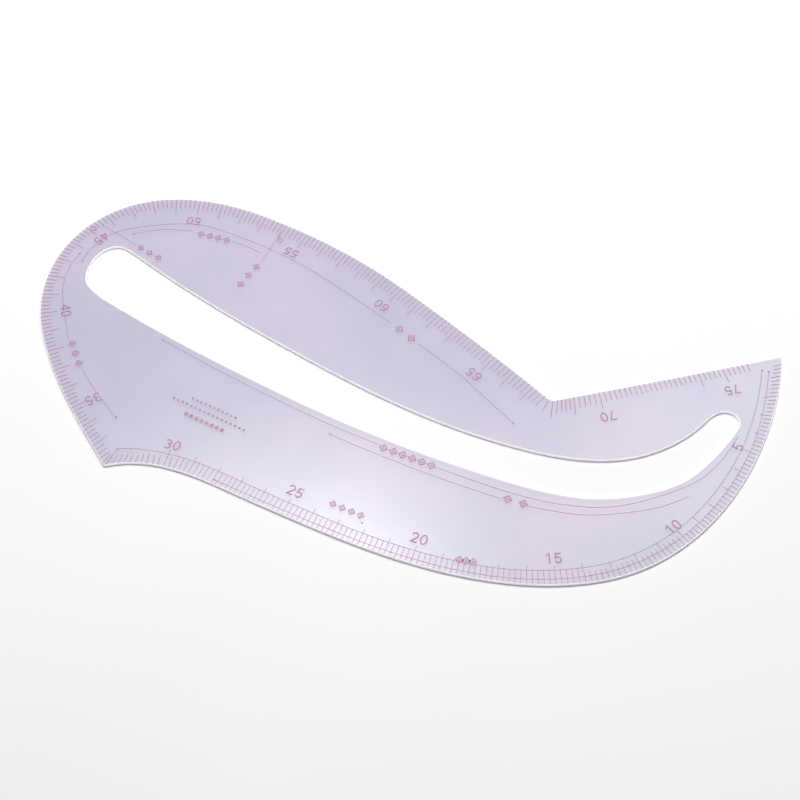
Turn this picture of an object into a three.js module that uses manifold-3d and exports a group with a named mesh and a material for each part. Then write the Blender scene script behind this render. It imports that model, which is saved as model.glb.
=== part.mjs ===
// A french curve for dressmaking: one flat sheet of clear plastic with a long hand slot, and the
// centimetre scale, numerals and guide lines that are printed on its upper face as films of ink.
// Millimetres and degrees. The sheet lies in the XY plane, its length along X, its underside at z = 0.
import * as THREE from "three";
import { mergeVertices } from "three/addons/utils/BufferGeometryUtils.js";
import Module from "manifold-3d";

const wasm = await Module();
wasm.setup();

// Driving dimensions.
const SHEET_THICKNESS = 1.2;
const INK_THICKNESS = 0.05;
const TICK_WIDTH = 0.22;
const GUIDE_WIDTH = 0.2;
const DOT_RADIUS = 0.45;
const NUMERAL_HEIGHT = 4.1;
const NUMERAL_SPREAD = 1.2;
const DIGIT_PITCH = 3.3;
const DIGIT_STROKE = 0.5;
const MM_PER_CM = 10;
const TICK_STEP = 2;
const EDGE_MARGIN = 0.15;

// Knots of the outline: [x, y, heading]. Each list is one smooth stretch, clockwise from the tip.
const WORKING_EDGE = [
  [143.5, 66, -82],
  [140.5, 6, -104],
  [102.5, -51, -149],
  [46, -67, -176],
  [-22.5, -63.5, 174],
  [-79, -67.6, -146],
];
const HIP_EDGE = [
  [-80.5, -67.5, 142],
  [-132, -20, 127],
  [-136.5, 45.5, 56],
  [-76, 67, -6],
  [-5.5, 49, -23],
  [63.5, 17, -27],
];
const BEAK_EDGE = [
  [67, 17.5, 33],
  [142, 67, 34],
];
// The hand slot is a single smooth stretch that closes on itself, anticlockwise from its left end.
const SLOT_EDGE = [
  [-130.5, 17.5, -84],
  [-126, 7, -34],
  [-105, -0.5, -15],
  [-32, -16, -10],
  [57, -24, 0],
  [100, -16.5, 28],
  [123.5, 3, 60],
  [134, 28.5, 75],
  [130, 34.5, 173],
  [122, 27.5, -114],
  [105, 5.5, -141],
  [50, -8.5, 180],
  [-43.5, 6.5, 166],
  [-100, 23, 161],
  [-120, 30, 162],
];
const FACET_TURN = 6;
const FACET_LENGTH = 7;

// Points along each guide line, with the end that carries a dot.
const GUIDES = [
  {
    name: "hip_guide_upper",
    points: [[-137.3, 21], [-137.7, 12], [-133.5, -0.5], [-120, -20.5]],
    dots: [0],
  },
  { name: "hip_guide_lower", points: [[-108, -31.7], [-98.5, -39], [-85.4, -47.5]], dots: [2] },
  {
    name: "crown_guide_left",
    points: [[-134.6, 18], [-134.2, 25], [-128, 38], [-105, 51], [-86, 53], [-49.5, 47], [-5, 31]],
    dots: [0],
  },
  { name: "crown_guide_right", points: [[8.4, 25], [27, 16.8], [42.4, 8.3], [54.5, 1.4]], dots: [3] },
  {
    name: "inner_guide_left",
    points: [[-121.7, 38.5], [-115.7, 42.8], [-108.7, 46.2], [-99.3, 48.7]],
    dots: [0],
  },
  { name: "inner_guide_right", points: [[-81.7, 49.2], [-74, 48.4], [-67.8, 47.2]], dots: [] },
  { name: "slot_guide_left", points: [[-85.5, -8], [-53.4, -15.2], [-13.6, -22.3], [11, -25]], dots: [0] },
  {
    name: "slot_guide_right",
    points: [
      [34, -27.2], [60, -28.2], [80.5, -26.6], [100.8, -20], [122.4, -2.6], [130.8, 11.6], [134.5, 24.7],
    ],
    dots: [],
  },
  { name: "belly_guide_left", points: [[-7.8, -26.9], [7.6, -28.8], [35, -31], [60.4, -31.8]], dots: [0] },
  { name: "belly_guide_right", points: [[70, -31.4], [90.4, -27.8], [111.8, -17.3], [123, -7.5]], dots: [] },
  { name: "left_centre_line", points: [[-136.5, 38.6], [-127, 36.2], [-118, 33.4]], dots: [] },
];
const GUIDE_STEP = 6;

// Millimetres by which the edge falls short of the printed scale, at some of its centimetres: the
// tip and the notch are rounded off, and the print isn't spaced quite evenly along the edge.
const SHORTFALL = [
  [0, 1.9],
  [4, 2.4],
  [8, 2.7],
  [10, 4.7],
  [12, 4.4],
  [15, 3.1],
  [20, 2.3],
  [26, 2.7],
  [30, 4.3],
  [32, 3.2],
  [33, 2.9],
  [42, 2.8],
  [45, 3.2],
  [50, 1.9],
  [55, 1.7],
  [61, 2.3],
  [67.9, 2.3],
  [68.2, 4.7],
  [76, 4.6],
];

// Degrees by which a mark near the tip leans towards larger values as it runs in, by centimetre.
const LEAN = [
  [0, 28],
  [2, 25],
  [4, 5],
  [5, 0],
];

// Depth of each rail of the lower scale from the edge, at lengths along it.
const OUTER_RAIL = [
  [7, 4.7],
  [45, 3.1],
  [110, 3],
  [150, 2],
  [170, 1.7],
  [276, 1.6],
];
const INNER_RAIL = [
  [7, 7.2],
  [45, 6.2],
  [110, 6.2],
  [150, 5.5],
  [170, 5],
  [220, 5],
  [300, 5.6],
  [312.4, 6.4],
];

// The lower scale's marks: every centimetre up to the last long one has a mark that reaches well in.
// A short mark stops just past the outer rail, then halfway to the inner rail, then at the inner rail.
const FIRST_LONG_TICK = 2;
const LAST_LONG_TICK = 30;
const CROSSING_TICKS_FROM = 5;
const INNER_RAIL_TICKS_FROM = 9;
const HALFWAY_TICKS_FROM = 10;
const FULL_TICKS_FROM = 14;
const SHORT_TICKS_FROM = 29.7;
const SHORT_TICK_DEPTH = 3;
const MIDDLE_TICK_DEPTH = 5.2;
const LONG_TICK_EXTRA = 1.8;
const CROSSING = 0.3;

// Centimetre value of each numeral, and the depth of its middle from the edge.
const NUMERALS = [
  [5, 7.8],
  [10, 7.9],
  [15, 10.3],
  [20, 10.1],
  [25, 10.4],
  [30, 9.7],
  [35, 8.8],
  [40, 10.1],
  [45, 9.6],
  [50, 12.1],
  [55, 12.1],
  [60, 12.5],
  [65, 12.2],
  [70, 11.5],
  [75, 10.5],
];
// This numeral is printed sideways, reading out towards the edge.
const SIDEWAYS_NUMERAL = 35;

const CLEAR_PLASTIC = { color: 0xd6d3e2, roughness: 0.15, metalness: 0, transparent: true, opacity: 0.75 };
const RED_INK = { color: 0xc8758f, roughness: 0.5, metalness: 0 };

function heading(degrees) {
  const angle = THREE.MathUtils.degToRad(degrees);
  return new THREE.Vector2(Math.cos(angle), Math.sin(angle));
}

// One curve between two knots, with handles as long as those of the circular arc that turns as much.
function curveBetween([x0, y0, heading0], [x1, y1, heading1]) {
  const start = new THREE.Vector2(x0, y0);
  const end = new THREE.Vector2(x1, y1);
  const chord = end.clone().sub(start);
  const turn = chord.angleTo(heading(heading0)) + chord.angleTo(heading(heading1));
  const handle = chord.length() / (3 * Math.cos(turn / 4) ** 2);
  const startHandle = start.clone().addScaledVector(heading(heading0), handle);
  const endHandle = end.clone().addScaledVector(heading(heading1), -handle);
  return new THREE.CubicBezierCurve(start, startHandle, endHandle, end);
}

// A short blend that rounds off the corner where two stretches would meet.
function cornerBetween([x0, y0, heading0], [x1, y1, heading1]) {
  const start = new THREE.Vector2(x0, y0);
  const end = new THREE.Vector2(x1, y1);
  const gap = end.clone().sub(start);
  const along = gap.cross(heading(heading1)) / heading(heading0).cross(heading(heading1));
  const corner = start.clone().addScaledVector(heading(heading0), along);
  return new THREE.QuadraticBezierCurve(start, corner, end);
}

function smoothStretch(knots) {
  return knots.slice(1).map((knot, i) => curveBetween(knots[i], knot));
}

function closedOutline(stretches) {
  const path = new THREE.CurvePath();
  stretches.forEach((knots, i) => {
    const next = stretches[(i + 1) % stretches.length];
    path.curves.push(...smoothStretch(knots));
    path.curves.push(cornerBetween(knots.at(-1), next[0]));
  });
  return path;
}

// Points on a path of curves, close enough that no facet turns or runs further than it may.
function facetPoints(path) {
  const points = [];
  for (const curve of path.curves) {
    const turn = curve.getTangent(0).angleTo(curve.getTangent(1));
    const byTurn = THREE.MathUtils.radToDeg(turn) / FACET_TURN;
    const steps = Math.ceil(Math.max(byTurn, curve.getLength() / FACET_LENGTH));
    points.push(...curve.getSpacedPoints(steps).slice(0, -1));
  }
  return points;
}

const outline = closedOutline([WORKING_EDGE, HIP_EDGE, BEAK_EDGE]);
const slot = new THREE.CurvePath();
slot.curves.push(...smoothStretch([...SLOT_EDGE, SLOT_EDGE[0]]));

function slab(shape, thickness) {
  return new THREE.ExtrudeGeometry(shape, { depth: thickness, bevelEnabled: false });
}

function solidFrom(geometry) {
  geometry.deleteAttribute("normal");
  geometry.deleteAttribute("uv");
  const merged = mergeVertices(geometry);
  const mesh = new wasm.Mesh({
    numProp: 3,
    vertProperties: merged.attributes.position.array,
    triVerts: new Uint32Array(merged.index.array),
  });
  return new wasm.Manifold(mesh);
}

// Joins flat films that touch or cross into one closed geometry.
function joined(geometries) {
  const whole = geometries.map(solidFrom).reduce((sum, solid) => sum.add(solid));
  const { vertProperties, triVerts } = whole.getMesh();
  const geometry = new THREE.BufferGeometry();
  geometry.setAttribute("position", new THREE.BufferAttribute(vertProperties, 3));
  geometry.setIndex(new THREE.BufferAttribute(triVerts, 1));
  geometry.computeVertexNormals();
  return geometry;
}

// A film of ink of constant width along a line of points.
function inkBand(points, width) {
  const sides = [1, -1].map((side) =>
    points.map((point, i) => {
      const before = points[Math.max(i - 1, 0)];
      const after = points[Math.min(i + 1, points.length - 1)];
      const along = after.clone().sub(before).normalize();
      const across = new THREE.Vector2(-along.y, along.x);
      return point.clone().addScaledVector(across, (side * width) / 2);
    }),
  );
  return slab(new THREE.Shape([...sides[0], ...sides[1].reverse()]), INK_THICKNESS);
}

function inkDot(centre) {
  const circle = new THREE.EllipseCurve(centre.x, centre.y, DOT_RADIUS, DOT_RADIUS);
  return slab(new THREE.Shape(circle.getPoints(10).slice(0, -1)), INK_THICKNESS);
}


// The value at x in a table of [x, value] pairs, changing evenly from each pair to the next.
function between(table, x) {
  const after = table.findIndex(([end]) => x <= end);
  if (after < 1) return table.at(after)[1];
  const [[x0, y0], [x1, y1]] = [table[after - 1], table[after]];
  return THREE.MathUtils.mapLinear(x, x0, x1, y0, y1);
}

// The edge's length from its rounded tip to a number of millimetres on the printed scale.
function lengthAt(value) {
  return value - between(SHORTFALL, value / MM_PER_CM);
}

// The point of the edge at a length from the rounded tip, with its direction and its inward normal.
const edgeLength = outline.getLength();
function edgeAt(length) {
  const share = THREE.MathUtils.clamp(length / edgeLength, 0, 1);
  const along = outline.getTangent(share);
  return { point: outline.getPoint(share), along, inward: new THREE.Vector2(along.y, -along.x) };
}

function insideEdge(length, depth) {
  const { point, inward } = edgeAt(length);
  return point.clone().addScaledVector(inward, depth);
}

function rail(depths) {
  const [from, to] = [depths[0][0], depths.at(-1)[0]];
  const steps = Math.round((to - from) / FACET_LENGTH);
  const points = Array.from({ length: steps + 1 }, (_, i) => {
    const length = THREE.MathUtils.lerp(from, to, i / steps);
    return insideEdge(length, between(depths, length));
  });
  return joined([inkBand(points, GUIDE_WIDTH), inkDot(points[0]), inkDot(points.at(-1))]);
}

// How far in from the edge the mark at a centimetre value of the lower scale reaches.
function lowerTickDepth(centimetres, length) {
  const inner = between(INNER_RAIL, length);
  const outer = between(OUTER_RAIL, length);
  if (centimetres % 1 === 0 && centimetres >= FIRST_LONG_TICK && centimetres <= LAST_LONG_TICK) {
    if (centimetres >= FULL_TICKS_FROM) return inner + LONG_TICK_EXTRA;
    if (centimetres >= INNER_RAIL_TICKS_FROM) return inner + CROSSING;
    return centimetres >= CROSSING_TICKS_FROM ? MIDDLE_TICK_DEPTH : outer + LONG_TICK_EXTRA / 2;
  }
  if (centimetres < CROSSING_TICKS_FROM || centimetres > SHORT_TICKS_FROM) return SHORT_TICK_DEPTH;
  if (centimetres < HALFWAY_TICKS_FROM) return outer + CROSSING;
  return centimetres < FULL_TICKS_FROM ? (outer + inner) / 2 : inner + CROSSING;
}

function lowerTick(value) {
  const centimetres = value / MM_PER_CM;
  const length = lengthAt(value);
  const { point, along, inward } = edgeAt(length);
  const lean = THREE.MathUtils.degToRad(between(LEAN, centimetres));
  const depth = lowerTickDepth(centimetres, length);
  const place = (reach) =>
    point.clone().addScaledVector(inward, reach).addScaledVector(along, reach * Math.tan(lean));
  const crosses = (depths) => {
    const onRail = length > depths[0][0] && length < depths.at(-1)[0];
    return onRail && depth > between(depths, length);
  };
  if (!crosses(OUTER_RAIL) && !crosses(INNER_RAIL)) return [];
  return [inkBand([place(EDGE_MARGIN), place(depth)], TICK_WIDTH)];
}

// The ladder of the lower scale: both rails, and every mark that crosses one. A mark that stops
// short of both is a speck of ink of its own, too small to be a part.
function lowerScale() {
  const films = [rail(OUTER_RAIL), rail(INNER_RAIL)];
  for (let value = TICK_STEP; value <= LAST_LONG_TICK * MM_PER_CM; value += TICK_STEP) {
    films.push(...lowerTick(value));
  }
  return joined(films);
}

function guideLine({ points, dots }) {
  const knots = points.map(([x, y]) => new THREE.Vector2(x, y));
  const spline = new THREE.SplineCurve(knots);
  const line = spline.getSpacedPoints(Math.ceil(spline.getLength() / GUIDE_STEP));
  return joined([inkBand(line, GUIDE_WIDTH), ...dots.map((i) => inkDot(knots[i]))]);
}

// Strokes of each digit, in a box one high and about half as wide, with its base at y = 0. A
// stroke is a straight line [x0, y0, x1, y1] or an arc { x, y, rx, ry, from, to } in degrees.
const DIGITS = {
  0: [{ x: 0.28, y: 0.5, rx: 0.23, ry: 0.45, from: 0, to: 360 }],
  1: [
    [0.34, 0, 0.34, 1],
    [0.1, 0.74, 0.34, 0.94],
  ],
  2: [
    { x: 0.28, y: 0.7, rx: 0.22, ry: 0.25, from: 165, to: -40 },
    [0.46, 0.56, 0.07, 0.05],
    [0.03, 0.05, 0.53, 0.05],
  ],
  3: [
    { x: 0.26, y: 0.74, rx: 0.2, ry: 0.21, from: 155, to: -90 },
    { x: 0.26, y: 0.29, rx: 0.22, ry: 0.24, from: 90, to: -155 },
  ],
  4: [
    [0.41, 0, 0.41, 1],
    [0.4, 0.95, 0.03, 0.3],
    [0, 0.27, 0.55, 0.27],
  ],
  5: [
    [0.5, 0.94, 0.13, 0.94],
    [0.15, 0.97, 0.08, 0.48],
    { x: 0.27, y: 0.32, rx: 0.22, ry: 0.27, from: 145, to: -155 },
  ],
  6: [
    { x: 0.28, y: 0.31, rx: 0.22, ry: 0.26, from: 0, to: 360 },
    { x: 0.32, y: 0.44, rx: 0.26, ry: 0.51, from: 45, to: 195 },
  ],
  7: [
    [0.03, 0.94, 0.53, 0.94],
    [0.5, 0.93, 0.2, 0],
  ],
};
const DIGIT_MIDDLE = new THREE.Vector2(0.28, 0.5);
const DIGIT_SCALE = new THREE.Vector2(NUMERAL_HEIGHT * NUMERAL_SPREAD, NUMERAL_HEIGHT);
const ARC_STEP = 30;

function digitPoint(x, y) {
  return new THREE.Vector2(x, y).sub(DIGIT_MIDDLE).multiply(DIGIT_SCALE);
}

function arcPoints({ x, y, rx, ry, from, to }) {
  const steps = Math.ceil(Math.abs(to - from) / ARC_STEP);
  return Array.from({ length: steps + 1 }, (_, i) => {
    const direction = heading(THREE.MathUtils.lerp(from, to, i / steps));
    return digitPoint(x + rx * direction.x, y + ry * direction.y);
  });
}

// A closed oval stroke, as a ring.
function ovalRing({ x, y, rx, ry }) {
  const half = DIGIT_STROKE / 2;
  const oval = (grow) => {
    const [wide, high] = [rx + grow / DIGIT_SCALE.x, ry + grow / DIGIT_SCALE.y];
    return arcPoints({ x, y, rx: wide, ry: high, from: 0, to: 360 }).slice(0, -1);
  };
  const shape = new THREE.Shape(oval(half));
  shape.holes.push(new THREE.Path(oval(-half)));
  return slab(shape, INK_THICKNESS);
}

function digitStroke(stroke) {
  if (Array.isArray(stroke)) {
    const [x0, y0, x1, y1] = stroke;
    return inkBand([digitPoint(x0, y0), digitPoint(x1, y1)], DIGIT_STROKE);
  }
  if (stroke.to - stroke.from === 360) return ovalRing(stroke);
  return inkBand(arcPoints(stroke), DIGIT_STROKE);
}

function digitGeometry(digit) {
  return joined(DIGITS[digit].map(digitStroke));
}

function addMesh(group, name, geometry, finish) {
  const mesh = new THREE.Mesh(geometry, new THREE.MeshStandardMaterial(finish));
  mesh.name = name;
  group.add(mesh);
  return mesh;
}

// A numeral stands at its mark, its top turned in from the edge. The numerals are printed after the
// scale and the guide lines, and over some of them, so their film starts where the first one ends.
function numeral(value, depth) {
  const group = new THREE.Group();
  const { point, along, inward } = edgeAt(lengthAt(value * MM_PER_CM));
  const middle = point.clone().addScaledVector(inward, depth);
  const sideways = value === SIDEWAYS_NUMERAL;
  const reading = sideways ? inward.clone().negate() : along.clone().negate();
  group.position.set(middle.x, middle.y, SHEET_THICKNESS + INK_THICKNESS);
  group.rotation.z = reading.angle();
  const digits = [...String(value)];
  const places = digits.length > 1 ? ["tens", "units"] : ["units"];
  digits.forEach((digit, i) => {
    const name = `numeral_${value}_${places[i]}`;
    const mesh = addMesh(group, name, digitGeometry(digit), RED_INK);
    mesh.position.x = (i - (digits.length - 1) / 2) * DIGIT_PITCH;
  });
  return group;
}

function sheet() {
  const shape = new THREE.Shape(facetPoints(outline));
  shape.holes.push(new THREE.Path(facetPoints(slot)));
  return slab(shape, SHEET_THICKNESS);
}

const frenchCurve = new THREE.Group();
addMesh(frenchCurve, "curve_sheet", sheet(), CLEAR_PLASTIC);

const print = new THREE.Group();
print.position.z = SHEET_THICKNESS;
addMesh(print, "lower_scale", lowerScale(), RED_INK);
GUIDES.forEach((guide) => addMesh(print, guide.name, guideLine(guide), RED_INK));
frenchCurve.add(print);

NUMERALS.forEach(([value, depth]) => frenchCurve.add(numeral(value, depth)));

export default frenchCurve;
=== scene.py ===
"""A french curve of clear lavender plastic with its red printed scale, lying on a pale surface."""
import math

import bmesh
import bpy
from mathutils import Matrix, Vector


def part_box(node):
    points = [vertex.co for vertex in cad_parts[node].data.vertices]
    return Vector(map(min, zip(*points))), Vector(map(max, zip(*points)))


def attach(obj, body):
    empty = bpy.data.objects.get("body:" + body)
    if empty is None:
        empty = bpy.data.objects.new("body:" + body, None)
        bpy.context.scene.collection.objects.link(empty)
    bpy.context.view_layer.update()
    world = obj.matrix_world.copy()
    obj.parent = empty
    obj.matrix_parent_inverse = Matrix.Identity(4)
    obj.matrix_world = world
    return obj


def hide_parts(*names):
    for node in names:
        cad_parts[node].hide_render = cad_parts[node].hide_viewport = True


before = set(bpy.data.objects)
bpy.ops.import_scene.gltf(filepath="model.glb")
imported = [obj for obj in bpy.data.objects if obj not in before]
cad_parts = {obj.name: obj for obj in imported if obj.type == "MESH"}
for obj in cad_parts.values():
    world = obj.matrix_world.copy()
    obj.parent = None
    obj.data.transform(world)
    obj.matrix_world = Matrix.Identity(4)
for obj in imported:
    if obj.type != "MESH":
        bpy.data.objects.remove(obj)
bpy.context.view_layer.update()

# Lengths are in metres, written as so many millimetres where a size or a place is meant.
MM = 0.001
SHEET_LOW, SHEET_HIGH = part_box("curve_sheet")
TOP = SHEET_HIGH.z
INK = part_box("lower_scale")[1].z - TOP


# ---------------------------------------------------------------- camera

CAMERA_AIM = Vector((11.2 * MM, -3.2 * MM, TOP))
CAMERA_DISTANCE = 489 * MM
CAMERA_TILT = math.radians(36.07)      # of the view from straight down
CAMERA_TURN = math.radians(19.25)
CAMERA_ROLL = math.radians(0.85)
CAMERA_LENS = 58.3
CAMERA_CLIP = 10 * MM


def make_camera():
    data = bpy.data.cameras.new("camera")
    data.lens = CAMERA_LENS
    data.clip_start = CAMERA_CLIP
    camera = bpy.data.objects.new("camera", data)
    across = Vector((math.sin(CAMERA_TURN), -math.cos(CAMERA_TURN), 0))
    back = across * math.sin(CAMERA_TILT) + Vector((0, 0, math.cos(CAMERA_TILT)))
    roll = Matrix.Rotation(CAMERA_ROLL, 3, "Z").to_quaternion()
    camera.rotation_mode = "QUATERNION"
    camera.rotation_quaternion = back.to_track_quat("Z", "Y") @ roll
    camera.location = CAMERA_AIM + back * CAMERA_DISTANCE
    bpy.context.collection.objects.link(camera)
    bpy.context.scene.camera = camera


make_camera()


# ---------------------------------------------------------------- outlines, from the CAD sheet

MERGE_DISTANCE = 0.001 * MM
FACING_UP = 0.9                        # least upward part of the upper face's normal
CORNER_TURN = math.radians(14)         # facets that turn more than this meet in a real corner


def lap_length(points):
    return sum((points[i] - points[i - 1]).length for i in range(len(points)))


def rim_loops(node):
    """The closed loops of points round the upper face of a flat node, the longest first."""
    mesh = bmesh.new()
    mesh.from_mesh(node.data)
    bmesh.ops.remove_doubles(mesh, verts=mesh.verts, dist=MERGE_DISTANCE)
    follow = {}
    for face in mesh.faces:
        if face.normal.z < FACING_UP:
            continue
        for loop in face.loops:
            if any(other.normal.z < FACING_UP for other in loop.edge.link_faces):
                follow[loop.vert.index] = loop.link_loop_next.vert.index
    places = {vert.index: vert.co.copy() for vert in mesh.verts}
    mesh.free()
    loops = []
    while follow:
        start = here = next(iter(follow))
        loop = []
        while here in follow:
            loop.append(places[here].xy)
            here = follow.pop(here)
        assert here == start
        loops.append(loop)
    return sorted(loops, key=lap_length, reverse=True)


def smoothed(points):
    """The loop with a point added in the middle of each facet, on the curve that the facets follow."""
    count = len(points)
    facets = [points[(i + 1) % count] - points[i] for i in range(count)]

    def tangent(i):
        back, ahead = facets[i - 1], facets[i]
        return (back / back.length_squared + ahead / ahead.length_squared).normalized()

    fine = []
    for i, facet in enumerate(facets):
        after = (i + 1) % count
        middle = points[i] + facet / 2
        if max(facet.angle(facets[i - 1]), facet.angle(facets[after])) < CORNER_TURN:
            middle += (tangent(i) - tangent(after)) * facet.length / 8
        fine += [points[i], middle]
    return fine


outer_rim, slot_rim = (smoothed(loop) for loop in rim_loops(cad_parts["curve_sheet"]))


# ---------------------------------------------------------------- the edge that the scale runs round

# Places on the printed scale are in millimetres of its own, and its tables are by centimetre.
CM = 10
EDGE_START = Vector((143.5, 66.0)) * MM
HALF_CHORD = 1.5 * MM                  # of the chord that gives the edge's direction at a mark

# Millimetres by which the edge falls short of the printed scale, at some of its centimetres: the
# tip and the notch are rounded off, and the print isn't spaced quite evenly along the edge.
SHORTFALL = (
    (0, 1.9), (4, 2.4), (8, 2.7), (10, 4.7), (12, 4.4), (15, 3.1), (20, 2.3), (26, 2.7), (30, 4.3),
    (32, 3.2), (32.2, 3.5), (33, 2.9), (42, 2.8), (45, 3.2), (50, 1.9), (55, 1.7), (61, 2.3),
    (67.8, 2.3), (69, 4.7), (76, 4.6),
)

# Degrees by which a mark leans towards larger values as it runs in, by centimetre. The marks fan
# out at the tip, on both sides of the corner at 32 and past the notch.
LEAN = (
    (0, 28), (2, 25), (4, 5), (5, 0), (28, 0), (30, 5), (30.6, 0), (31.8, -35), (32, -18),
    (32.2, 12), (33, 14), (36, 0), (46, 0), (47, 8), (49, 2), (53, 5), (67.8, 4), (68, -4),
    (68.2, -16), (69, -12), (71, 0), (76, 0),
)


def between(table, x):
    """The value at x in a table of pairs, changing evenly from each pair to the next."""
    for (x0, y0), (x1, y1) in zip(table, table[1:]):
        if x <= x1:
            return y0 + (y1 - y0) * (x - x0) / (x1 - x0)
    return table[-1][1]


class Edge:
    """The outer rim taken clockwise from the tip, measured by length."""

    def __init__(self, loop):
        points = list(reversed(loop))
        start = min(range(len(points)), key=lambda i: (points[i] - EDGE_START).length)
        self.points = points[start:] + points[:start + 1]
        self.lengths = [0.0]
        for before, point in zip(self.points, self.points[1:]):
            self.lengths.append(self.lengths[-1] + (point - before).length)

    def place(self, length):
        i = 1
        while i < len(self.lengths) - 1 and self.lengths[i] < length:
            i += 1
        share = (length - self.lengths[i - 1]) / (self.lengths[i] - self.lengths[i - 1])
        return self.points[i - 1].lerp(self.points[i], share)

    def at(self, value):
        """The point at a number of millimetres on the printed scale, and the direction of its mark."""
        length = (value - between(SHORTFALL, value / CM)) * MM
        along = (self.place(length + HALF_CHORD) - self.place(length - HALF_CHORD)).normalized()
        into = Vector((along.y, -along.x))
        return self.place(length), into + along * math.tan(math.radians(between(LEAN, value / CM)))


edge = Edge(outer_rim)


# ---------------------------------------------------------------- mesh helpers

def add_piece(data, materials):
    """Puts a mesh in the scene as a piece that carries the mesh's name."""
    for material in materials:
        data.materials.append(material)
    piece = bpy.data.objects.new(data.name, data)
    bpy.context.collection.objects.link(piece)
    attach(piece, "root")
    return piece


def ray(angle):
    return Vector((math.cos(angle), math.sin(angle)))


class Film:
    """Flat patches of ink on the sheet, gathered into one mesh."""

    def __init__(self, thickness):
        self.low, self.high = TOP, TOP + thickness
        self.verts = []
        self.faces = []

    def patch(self, outline):
        """A solid patch inside an anticlockwise outline of flat points."""
        base = len(self.verts)
        count = len(outline)
        self.verts += [(p.x, p.y, self.low) for p in outline]
        self.verts += [(p.x, p.y, self.high) for p in outline]
        self.faces.append([base + i for i in reversed(range(count))])
        self.faces.append([base + count + i for i in range(count)])
        for i in range(count):
            after = (i + 1) % count
            self.faces.append([base + i, base + after, base + count + after, base + count + i])

    def line(self, start, end, width):
        along = (end - start).normalized()
        side = Vector((-along.y, along.x)) * width / 2
        self.patch([start - side, end - side, end + side, start + side])

    def polygon(self, centre, radius, sides, turn=0.0):
        self.patch([centre + ray(turn + math.tau * i / sides) * radius for i in range(sides)])

    def ring(self, centre, outside, inside, sides, turn=0.0):
        """A closed band between two polygons, one wedge for each side."""
        for i in range(sides):
            a, b = (ray(turn + math.tau * k / sides) for k in (i, i + 1))
            self.patch([centre + a * inside, centre + a * outside,
                        centre + b * outside, centre + b * inside])

    def print_as(self, name):
        data = bpy.data.meshes.new(name)
        data.from_pydata(self.verts, [], self.faces)
        data.validate()
        add_piece(data, [INK_FINISH])


# ---------------------------------------------------------------- materials

PLASTIC_IOR = 1.5
PLASTIC_OPACITY = 0.62
WAVE_HEIGHT = 0.12 * MM
SCRATCH_TURNS_AND_DEPTHS = ((0.35, 0.002 * MM), (-0.9, 0.0015 * MM))
SAWN_HEIGHT = 0.02 * MM
GRAIN_HEIGHT = 0.008 * MM


def srgb(red, green, blue):
    def linear(level):
        level /= 255
        return level / 12.92 if level <= 0.04045 else ((level + 0.055) / 1.055) ** 2.4
    return (linear(red), linear(green), linear(blue), 1.0)


class Finish:
    """A material with one Principled shader, and helpers that add nodes in front of it."""

    def __init__(self, name, colour, roughness, alpha=1.0):
        self.material = bpy.data.materials.new(name)
        self.material.use_nodes = True
        self.tree = self.material.node_tree
        self.shader = self.tree.nodes["Principled BSDF"]
        self.shader.inputs["Base Color"].default_value = colour
        self.shader.inputs["Roughness"].default_value = roughness
        self.shader.inputs["Alpha"].default_value = alpha

    def node(self, kind, **settings):
        node = self.tree.nodes.new(kind)
        for name, value in settings.items():
            setattr(node, name, value)
        return node

    def link(self, source, target):
        self.tree.links.new(source, target)

    def noise(self, scale, detail=2.0, stretch=(1, 1, 1), turn=0.0, roughness=0.5):
        """Noise in the object's own space, so many cycles to the metre. A stretch multiplies them
        along each axis, as turned."""
        place = self.node("ShaderNodeTexCoord")
        mapping = self.node("ShaderNodeMapping", vector_type="TEXTURE")
        mapping.inputs["Scale"].default_value = [1 / share for share in stretch]
        mapping.inputs["Rotation"].default_value = (0, 0, turn)
        self.link(place.outputs["Object"], mapping.inputs["Vector"])
        noise = self.node("ShaderNodeTexNoise")
        noise.inputs["Scale"].default_value = scale
        noise.inputs["Detail"].default_value = detail
        noise.inputs["Roughness"].default_value = roughness
        self.link(mapping.outputs["Vector"], noise.inputs["Vector"])
        return noise.outputs["Fac"]

    def spread(self, value, low, high, from_low=0.3, from_high=0.7):
        ramp = self.node("ShaderNodeMapRange")
        for socket, level in (("From Min", from_low), ("From Max", from_high),
                              ("To Min", low), ("To Max", high)):
            ramp.inputs[socket].default_value = level
        self.link(value, ramp.inputs["Value"])
        return ramp.outputs["Result"]

    def blend(self, share, first, second):
        mix = self.node("ShaderNodeMix", data_type="RGBA")
        self.link(share, mix.inputs["Factor"])
        colours = [socket for socket in mix.inputs if socket.type == "RGBA"]
        colours[0].default_value, colours[1].default_value = first, second
        self.link(mix.outputs[2], self.shader.inputs["Base Color"])

    def roughen(self, value):
        self.link(value, self.shader.inputs["Roughness"])

    def bump(self, height, distance, under=None):
        bump = self.node("ShaderNodeBump")
        bump.inputs["Distance"].default_value = distance
        self.link(height, bump.inputs["Height"])
        if under is not None:
            self.link(under, bump.inputs["Normal"])
        return bump.outputs["Normal"]

    def shape(self, normal):
        self.link(normal, self.shader.inputs["Normal"])


def scratches(finish, turn):
    """Long faint hairlines that run one way: the crests of a noise stretched to streaks."""
    streaks = finish.noise(1.0, detail=3, stretch=(14, 1900, 1), turn=turn, roughness=0.6)
    return finish.spread(streaks, 0, 1, 0.66, 0.74)


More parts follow.
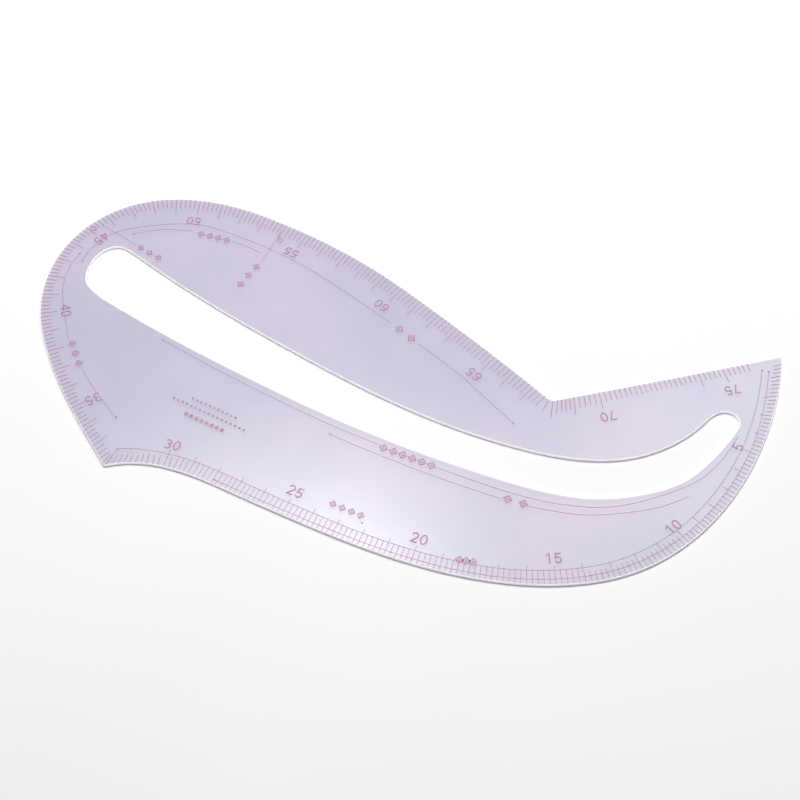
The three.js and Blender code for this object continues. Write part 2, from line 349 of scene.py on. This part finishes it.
def clear_plastic():
    """Clear sheet with a lavender cast, a little uneven, with the hairlines of handling."""
    finish = Finish("clear_plastic", srgb(184, 181, 198), 0.29, alpha=PLASTIC_OPACITY)
    finish.shader.inputs["IOR"].default_value = PLASTIC_IOR
    cloud = finish.spread(finish.noise(16, detail=3), 0, 1, 0.42, 0.72)
    finish.blend(cloud, srgb(181, 180, 198), srgb(196, 184, 203))
    finish.roughen(finish.spread(finish.noise(60, detail=4), 0.278, 0.3))
    normal = finish.bump(finish.noise(9, detail=1), WAVE_HEIGHT)
    for turn, depth in SCRATCH_TURNS_AND_DEPTHS:
        normal = finish.bump(scratches(finish, turn), depth, under=normal)
    finish.shape(normal)
    return finish.material


def cut_edge_painted_glow():
    """The sheet's cut rim and walls. Their near-white colour is partly the frosted cut and partly a
    painted highlight, and a faint emission paints the glow of the light they gather.
    """
    # Painted light: the near-white colour is partly the frosted cut and partly a painted highlight on
    # the rims, and the faint emission below paints their glow.
    finish = Finish("cut_edge_painted_glow", srgb(246, 244, 250), 0.35, alpha=0.95)
    finish.shader.inputs["Emission Color"].default_value = srgb(248, 244, 252)
    finish.shader.inputs["Emission Strength"].default_value = 0.22
    finish.shader.inputs["IOR"].default_value = PLASTIC_IOR
    finish.blend(finish.spread(finish.noise(220), 0, 1), srgb(250, 248, 252), srgb(240, 234, 244))
    finish.shape(finish.bump(finish.noise(1500), SAWN_HEIGHT))
    return finish.material


def red_ink():
    """Screen-printed ink, thin enough that its colour varies where it lies unevenly."""
    finish = Finish("red_ink", srgb(176, 92, 128), 0.5)
    cover = finish.spread(finish.noise(700, detail=3), 0, 1)
    finish.blend(cover, srgb(138, 84, 116), srgb(162, 112, 144))
    finish.shape(finish.bump(finish.noise(2600), GRAIN_HEIGHT))
    return finish.material


PLASTIC = clear_plastic()
# The cut edge's finish paints a faint glow and a highlight on the sheet's walls.
EDGE_GLOW_FINISH = cut_edge_painted_glow()
INK_FINISH = red_ink()


# ---------------------------------------------------------------- the sheet

RIM_RADIUS = 0.16 * MM
RIM_STEPS = 3
WALL_SLOT = 1                          # of the cut edge, in the sheet's list of materials


def inward(loop, inset):
    """The loop moved into the plastic, which lies on the left of its direction."""
    moved = []
    for i, point in enumerate(loop):
        before, after = loop[i - 1], loop[(i + 1) % len(loop)]
        along = ((point - before).normalized() + (after - point).normalized()).normalized()
        moved.append(point + Vector((-along.y, along.x)) * inset)
    return moved


def rim_profile():
    """Inset and height of each ring of the wall, from the underside to the top, with round rims."""
    steps = [math.pi / 2 * i / RIM_STEPS for i in range(RIM_STEPS + 1)]
    low = [(RIM_RADIUS * (1 - math.sin(a)), RIM_RADIUS * (1 - math.cos(a))) for a in steps]
    return low + [(inset, TOP - height) for inset, height in reversed(low)]


def add_wall(mesh, loop):
    """The cut wall along a loop. Returns its lowest and its highest ring of vertices."""
    rings = [[mesh.verts.new((p.x, p.y, height)) for p in inward(loop, inset)]
             for inset, height in rim_profile()]
    for lower, upper in zip(rings, rings[1:]):
        for i in range(len(loop)):
            wall = mesh.faces.new((lower[i - 1], lower[i], upper[i], upper[i - 1]))
            wall.smooth = True
            wall.material_index = WALL_SLOT
    return rings[0], rings[-1]


def make_sheet():
    mesh = bmesh.new()
    walls = [add_wall(mesh, loop) for loop in (outer_rim, slot_rim)]
    for rings in zip(*walls):
        edges = [mesh.edges.get((ring[i - 1], ring[i])) for ring in rings for i in range(len(ring))]
        bmesh.ops.triangle_fill(mesh, edges=edges, use_beauty=True)
    bmesh.ops.recalc_face_normals(mesh, faces=mesh.faces)
    data = bpy.data.meshes.new("plastic_sheet")
    mesh.to_mesh(data)
    mesh.free()
    sheet = add_piece(data, [PLASTIC, EDGE_GLOW_FINISH])
    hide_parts("curve_sheet")


make_sheet()


# ---------------------------------------------------------------- printed marks that have no CAD node

# The marks are thinner than the CAD's film and the labels are thicker, so that their tops don't
# coincide with its top where they cross it.
MARK_INK = INK * 0.8
LABEL_INK = INK * 1.2
MARK_WIDTH = 0.3 * MM
MARK_STEP = 2
EDGE_MARGIN = 0.15 * MM

# Depth of the short marks of the upper scale at some of its centimetres. Most whole centimetres
# reach further in.
UPPER_DEPTHS = (
    (32, 4.6), (34, 4.0), (40, 4.2), (44, 4.0), (47, 5.1), (50, 5.3), (53, 6.1), (67, 6.1), (69, 5.6),
    (70, 4.8), (72, 4.1), (76, 3.9),
)
WHOLE_CM_EXTRA = 2.6
PLAIN_CENTIMETRES = (64, 71, 72, 73, 76)
UPPER_START, UPPER_END = 322, 762

# The lower scale's marks that touch neither of its rails: those before 5 cm, and those from 29.8
# to the corner at 32. The mark at the corner is a long one.
FIRST_MARK, CROSSING_MARKS_START = 4, 50
FIRST_DEPTH, FIRST_CM_DEPTH = 3.0, 3.6
LAST_MARKS_START, LAST_LONG_MARK, CORNER_MARK = 298, 300, 320
LAST_DEPTHS = ((29.8, 4.6), (31, 3.6), (32, 3.3))
CORNER_DEPTH = 7.2


def upper_depth(value):
    whole = value % CM == 0 and value / CM not in PLAIN_CENTIMETRES
    return between(UPPER_DEPTHS, value / CM) + (WHOLE_CM_EXTRA if whole else 0)


def first_depth(value):
    return FIRST_CM_DEPTH if value == CM else FIRST_DEPTH


def last_depth(value):
    return CORNER_DEPTH if value == CORNER_MARK else between(LAST_DEPTHS, value / CM)


def scale_marks(name, values, depth):
    film = Film(MARK_INK)
    for value in values:
        foot, into = edge.at(value)
        film.line(foot + into * EDGE_MARGIN, foot + into * depth(value) * MM, MARK_WIDTH)
    film.print_as(name)


scale_marks("upper_scale_marks", range(UPPER_START, UPPER_END, MARK_STEP), upper_depth)
scale_marks("lower_scale_first_marks",
            [v for v in range(FIRST_MARK, CROSSING_MARKS_START, MARK_STEP) if v % CM or v == CM],
            first_depth)
scale_marks("lower_scale_last_marks",
            [v for v in range(LAST_MARKS_START, CORNER_MARK + 1, MARK_STEP) if v != LAST_LONG_MARK],
            last_depth)


# A row of small diamonds stands where the sheet names each of its guide lines: first and last
# centre in millimetres, how many, and their size.
GUIDE_LABELS = {
    "hip_guide_label": ((-117.6, -21.8), (-110.6, -29.6), 3, 1.7),
    "crown_guide_label": ((-0.8, 29.2), (5.2, 26.5), 2, 1.9),
    "inner_guide_label": ((-95.4, 48.4), (-84.0, 48.9), 4, 1.7),
    "slot_guide_label": ((13.0, -25.8), (32.0, -26.9), 6, 1.8),
    "belly_guide_label": ((62.3, -31.0), (68.2, -31.0), 2, 1.8),
    "left_centre_label": ((-115.4, 32.6), (-106.2, 30.2), 3, 1.6),
    "top_centre_label": ((-66.6, 39.6), (-68.8, 29.0), 3, 1.7),
    "waist_label": ((4.4, -54.6), (15.4, -55.6), 4, 1.5),
    "lower_rail_label": ((53.8, -60.4), (58.6, -59.6), 3, 1.6),
}
DIAMOND_HOLE, DIAMOND_CENTRE = 0.62, 0.3     # shares of a diamond's size


def label_diamonds(name, first, last, count, size):
    film = Film(LABEL_INK)
    first, last, size = Vector(first) * MM, Vector(last) * MM, size * MM
    along = last - first
    turn = math.atan2(along.y, along.x)
    for i in range(count):
        centre = first.lerp(last, i / (count - 1))
        film.ring(centre, size, size * DIAMOND_HOLE, 4, turn)
        film.polygon(centre, size * DIAMOND_CENTRE, 4, turn)
    film.print_as(name)


for label, row in GUIDE_LABELS.items():
    label_diamonds(label, *row)


# Three rows of plain dots stand in for the maker's text: first and last centre in millimetres,
# how many, and the radius of each.
TEXT_ROWS = (
    ((-61.6, -36.9), (-46.0, -39.1), 8, 0.85),
    ((-69.0, -31.9), (-38.4, -36.2), 17, 0.55),
    ((-62.2, -29.6), (-43.6, -32.2), 11, 0.55),
)
DOT_SIDES = 12


def maker_text():
    film = Film(INK)
    for first, last, count, radius in TEXT_ROWS:
        for i in range(count):
            centre = Vector(first).lerp(Vector(last), i / (count - 1)) * MM
            film.polygon(centre, radius * MM, DOT_SIDES)
    film.print_as("maker_text_dots")


maker_text()


# The dash-dot line across the crown, from the edge inwards, and its pattern in millimetres.
CENTRE_LINE = Vector((-64.9, 61.5)) * MM, Vector((-65.7, 43.5)) * MM
CENTRE_DASH, CENTRE_GAP, CENTRE_DOT = 4.2, 0.9, 0.7
CENTRE_WIDTH = 0.22 * MM

# The small open rings beside both centre lines: centre, outer and inner radius.
CENTRE_RINGS = (((-63.4, 56.4), 1.3, 0.95), ((-138.6, 35.6), 1.4, 1.0))
RING_SIDES = 16
WAIST_DOT = Vector((16.9, -58.3)) * MM
WAIST_DOT_RADIUS = 0.4 * MM


def centre_marks():
    film = Film(INK)
    start, end = CENTRE_LINE
    length = (end - start).length / MM
    reached = 0.0
    while reached < length - CENTRE_DASH:
        for stroke in (CENTRE_DASH, CENTRE_DOT):
            film.line(start.lerp(end, reached / length), start.lerp(end, (reached + stroke) / length),
                      CENTRE_WIDTH)
            reached += stroke + CENTRE_GAP
    for centre, outside, inside in CENTRE_RINGS:
        film.ring(Vector(centre) * MM, outside * MM, inside * MM, RING_SIDES)
    film.polygon(WAIST_DOT, WAIST_DOT_RADIUS, DOT_SIDES)
    film.print_as("centre_marks")


centre_marks()

for name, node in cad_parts.items():
    if name != "curve_sheet":
        node.material_slots[0].material = INK_FINISH


# ---------------------------------------------------------------- surface, light

FLOOR_SIZE = 6
FLOOR_GAP = 0.02 * MM
WORLD_COLOUR = (0.9, 0.9, 0.92, 1)
WORLD_STRENGTH = 0.32

# Lamps that the sheet mirrors towards the camera: the place on the sheet, how far off the lamp
# stands, its width and height in metres, and its watts.
MIRRORED_LAMPS = {
    "glow": ((0.003, -0.095), 1.0, 0.3, 0.05, 7.6),
    "sheen": ((0.13, 0.01), 1.2, 0.4, 0.5, 6.2),
}

# Lamps that light the whole: where each stands in metres, the length of its sides, and its watts.
ROOM_LAMPS = {
    "key": ((-0.7, 0.9, 1.5), 1.2, 4),
    "fill": ((1.0, -1.2, 1.4), 1.5, 3.4),
}


def make_floor():
    finish = Finish("pale_surface", srgb(214, 214, 212), 0.9)
    finish.blend(finish.spread(finish.noise(6), 0, 1), srgb(213, 213, 211), srgb(216, 216, 214))
    bpy.ops.mesh.primitive_plane_add(size=FLOOR_SIZE, location=(0, 0, SHEET_LOW.z - FLOOR_GAP))
    floor = bpy.context.object
    floor.name = "floor"
    floor.data.materials.append(finish.material)


def softbox(name, place, aim, width, height, power):
    data = bpy.data.lights.new(name, "AREA")
    data.shape = "RECTANGLE"
    data.size, data.size_y = width, height
    data.energy = power
    lamp = bpy.data.objects.new(name, data)
    lamp.location = place
    lamp.rotation_mode = "QUATERNION"
    lamp.rotation_quaternion = (place - aim).to_track_quat("Z", "Y")
    bpy.context.collection.objects.link(lamp)


def mirrored_from(point, distance):
    """Where a lamp stands if the camera sees its reflection at this point of the sheet."""
    to_camera = (bpy.context.scene.camera.location - point).normalized()
    return point + Vector((-to_camera.x, -to_camera.y, to_camera.z)) * distance


def light_scene():
    bpy.context.scene.view_settings.view_transform = "Standard"
    world = bpy.data.worlds.new("studio")
    world.use_nodes = True
    background = world.node_tree.nodes["Background"]
    background.inputs["Color"].default_value = WORLD_COLOUR
    background.inputs["Strength"].default_value = WORLD_STRENGTH
    bpy.context.scene.world = world
    for name, (place, distance, width, height, power) in MIRRORED_LAMPS.items():
        aim = Vector((*place, TOP))
        softbox(name, mirrored_from(aim, distance), aim, width, height, power)
    for name, (place, side, power) in ROOM_LAMPS.items():
        softbox(name, Vector(place), Vector((0, 0, 0)), side, side, power)


make_floor()
light_scene()
